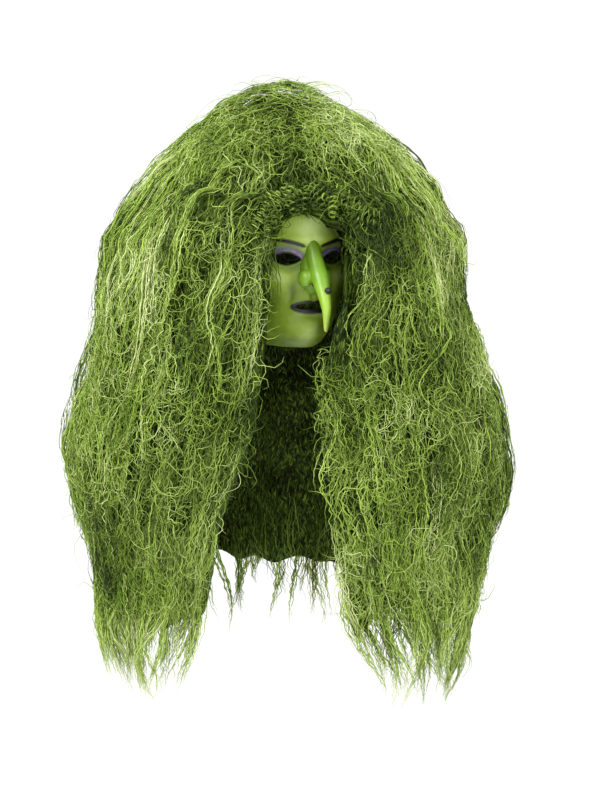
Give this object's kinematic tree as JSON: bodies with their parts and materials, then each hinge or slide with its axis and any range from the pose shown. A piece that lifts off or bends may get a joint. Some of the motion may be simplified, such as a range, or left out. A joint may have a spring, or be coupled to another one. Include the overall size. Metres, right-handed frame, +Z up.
{
  "type": "latex halloween mask",
  "caption": "Green latex witch face mask with a long drooping wart nose, worn under a very full, long crimped green wig.",
  "frame": {"origin": "crown point of the wearer's head, just under the wig cap", "axes": "+Z up, the face looks along -Y, +X is the wearer's left; the shoulders and the hair that lies on them are turned 22 degrees about Z under the head"},
  "size_m": [0.5579, 0.442, 0.777],
  "materials": {
    "face_latex": "painted satin latex",
    "nose_latex": "satin latex",
    "wart_latex": "satin latex",
    "black_elastic": "woven elastic",
    "rivet_metal": "dull nickel",
    "dark_plastic": "matte",
    "cap_net": "stretch net",
    "weft_tape": "stitched weft",
    "green_fibre": "crimped synthetic fibre",
    "dark_fibre": "curled synthetic fibre"
  },
  "bodies": {
    "mask": {"mask_shell": "face_latex", "nose_cover": "nose_latex", "nose_wart": "wart_latex", "head_strap_left": "black_elastic", "head_strap_right": "black_elastic", "strap_rivet_left": "rivet_metal", "strap_rivet_right": "rivet_metal", "rivet_washer_left": "rivet_metal", "rivet_washer_right": "rivet_metal"},
    "strap_keeper": {"strap_slider": "dark_plastic"},
    "wig": {"wig_cap": "cap_net", "cap_front_band": "black_elastic", "cap_nape_band": "black_elastic", "hair_weft_1": "weft_tape", "hair_weft_2": "weft_tape", "hair_weft_3": "weft_tape", "hair_weft_4": "weft_tape", "hair_weft_5": "weft_tape", "hair_weft_6": "weft_tape", "hair_weft_7": "weft_tape", "ear_tab_left": "cap_net", "ear_tab_right": "cap_net", "ear_tab_stay_left": "dark_plastic", "ear_tab_stay_right": "dark_plastic", "nape_loop_tape_left": "weft_tape", "nape_loop_tape_right": "weft_tape", "crown_hair": "green_fibre", "fringe_curls": "dark_fibre", "nape_hair": "green_fibre", "temple_hair_left": "green_fibre", "temple_hair_right": "green_fibre", "side_hair_left": "green_fibre", "side_hair_right": "green_fibre"},
    "hair_left": {"front_hair_left": "green_fibre"},
    "hair_right": {"front_hair_right": "green_fibre"},
    "hair_back": {"back_hair": "green_fibre"},
    "hook_left": {"nape_hook_left": "dark_plastic"},
    "hook_right": {"nape_hook_right": "dark_plastic"}
  },
  "joints": [
    {"name": "wig_lift", "type": "slide", "parent": "mask", "child": "wig", "axis": [0, 0, 1], "range_m": [0, 0.26]},
    {"name": "left_lock_swing", "type": "hinge", "parent": "wig", "child": "hair_left", "pos_m": [0.10994, -0.15767, -0.115], "axis": [-0.3746, -0.9272, 0], "range_deg": [-5, 12]},
    {"name": "right_lock_swing", "type": "hinge", "parent": "wig", "child": "hair_right", "pos_m": [-0.18861, -0.03704, -0.115], "axis": [0.3746, 0.9272, 0], "range_deg": [-5, 12]},
    {"name": "back_hair_swing", "type": "hinge", "parent": "wig", "child": "hair_back", "pos_m": [0.05694, 0.14093, -0.125], "axis": [0.9272, -0.3746, 0], "range_deg": [0, 14]},
    {"name": "strap_keeper_slide", "type": "hinge", "parent": "mask", "child": "strap_keeper", "pos_m": [0, 0.044, -0.088], "axis": [0, 0, 1], "range_deg": [-10, 10]},
    {"name": "left_hook_adjust", "type": "hinge", "parent": "wig", "child": "hook_left", "pos_m": [0, 0.0443, -0.1685], "axis": [0, 0, -1], "range_deg": [0, 11]},
    {"name": "right_hook_adjust", "type": "hinge", "parent": "wig", "child": "hook_right", "pos_m": [0, 0.0443, -0.1685], "axis": [0, 0, 1], "range_deg": [0, 11]}
  ]
}
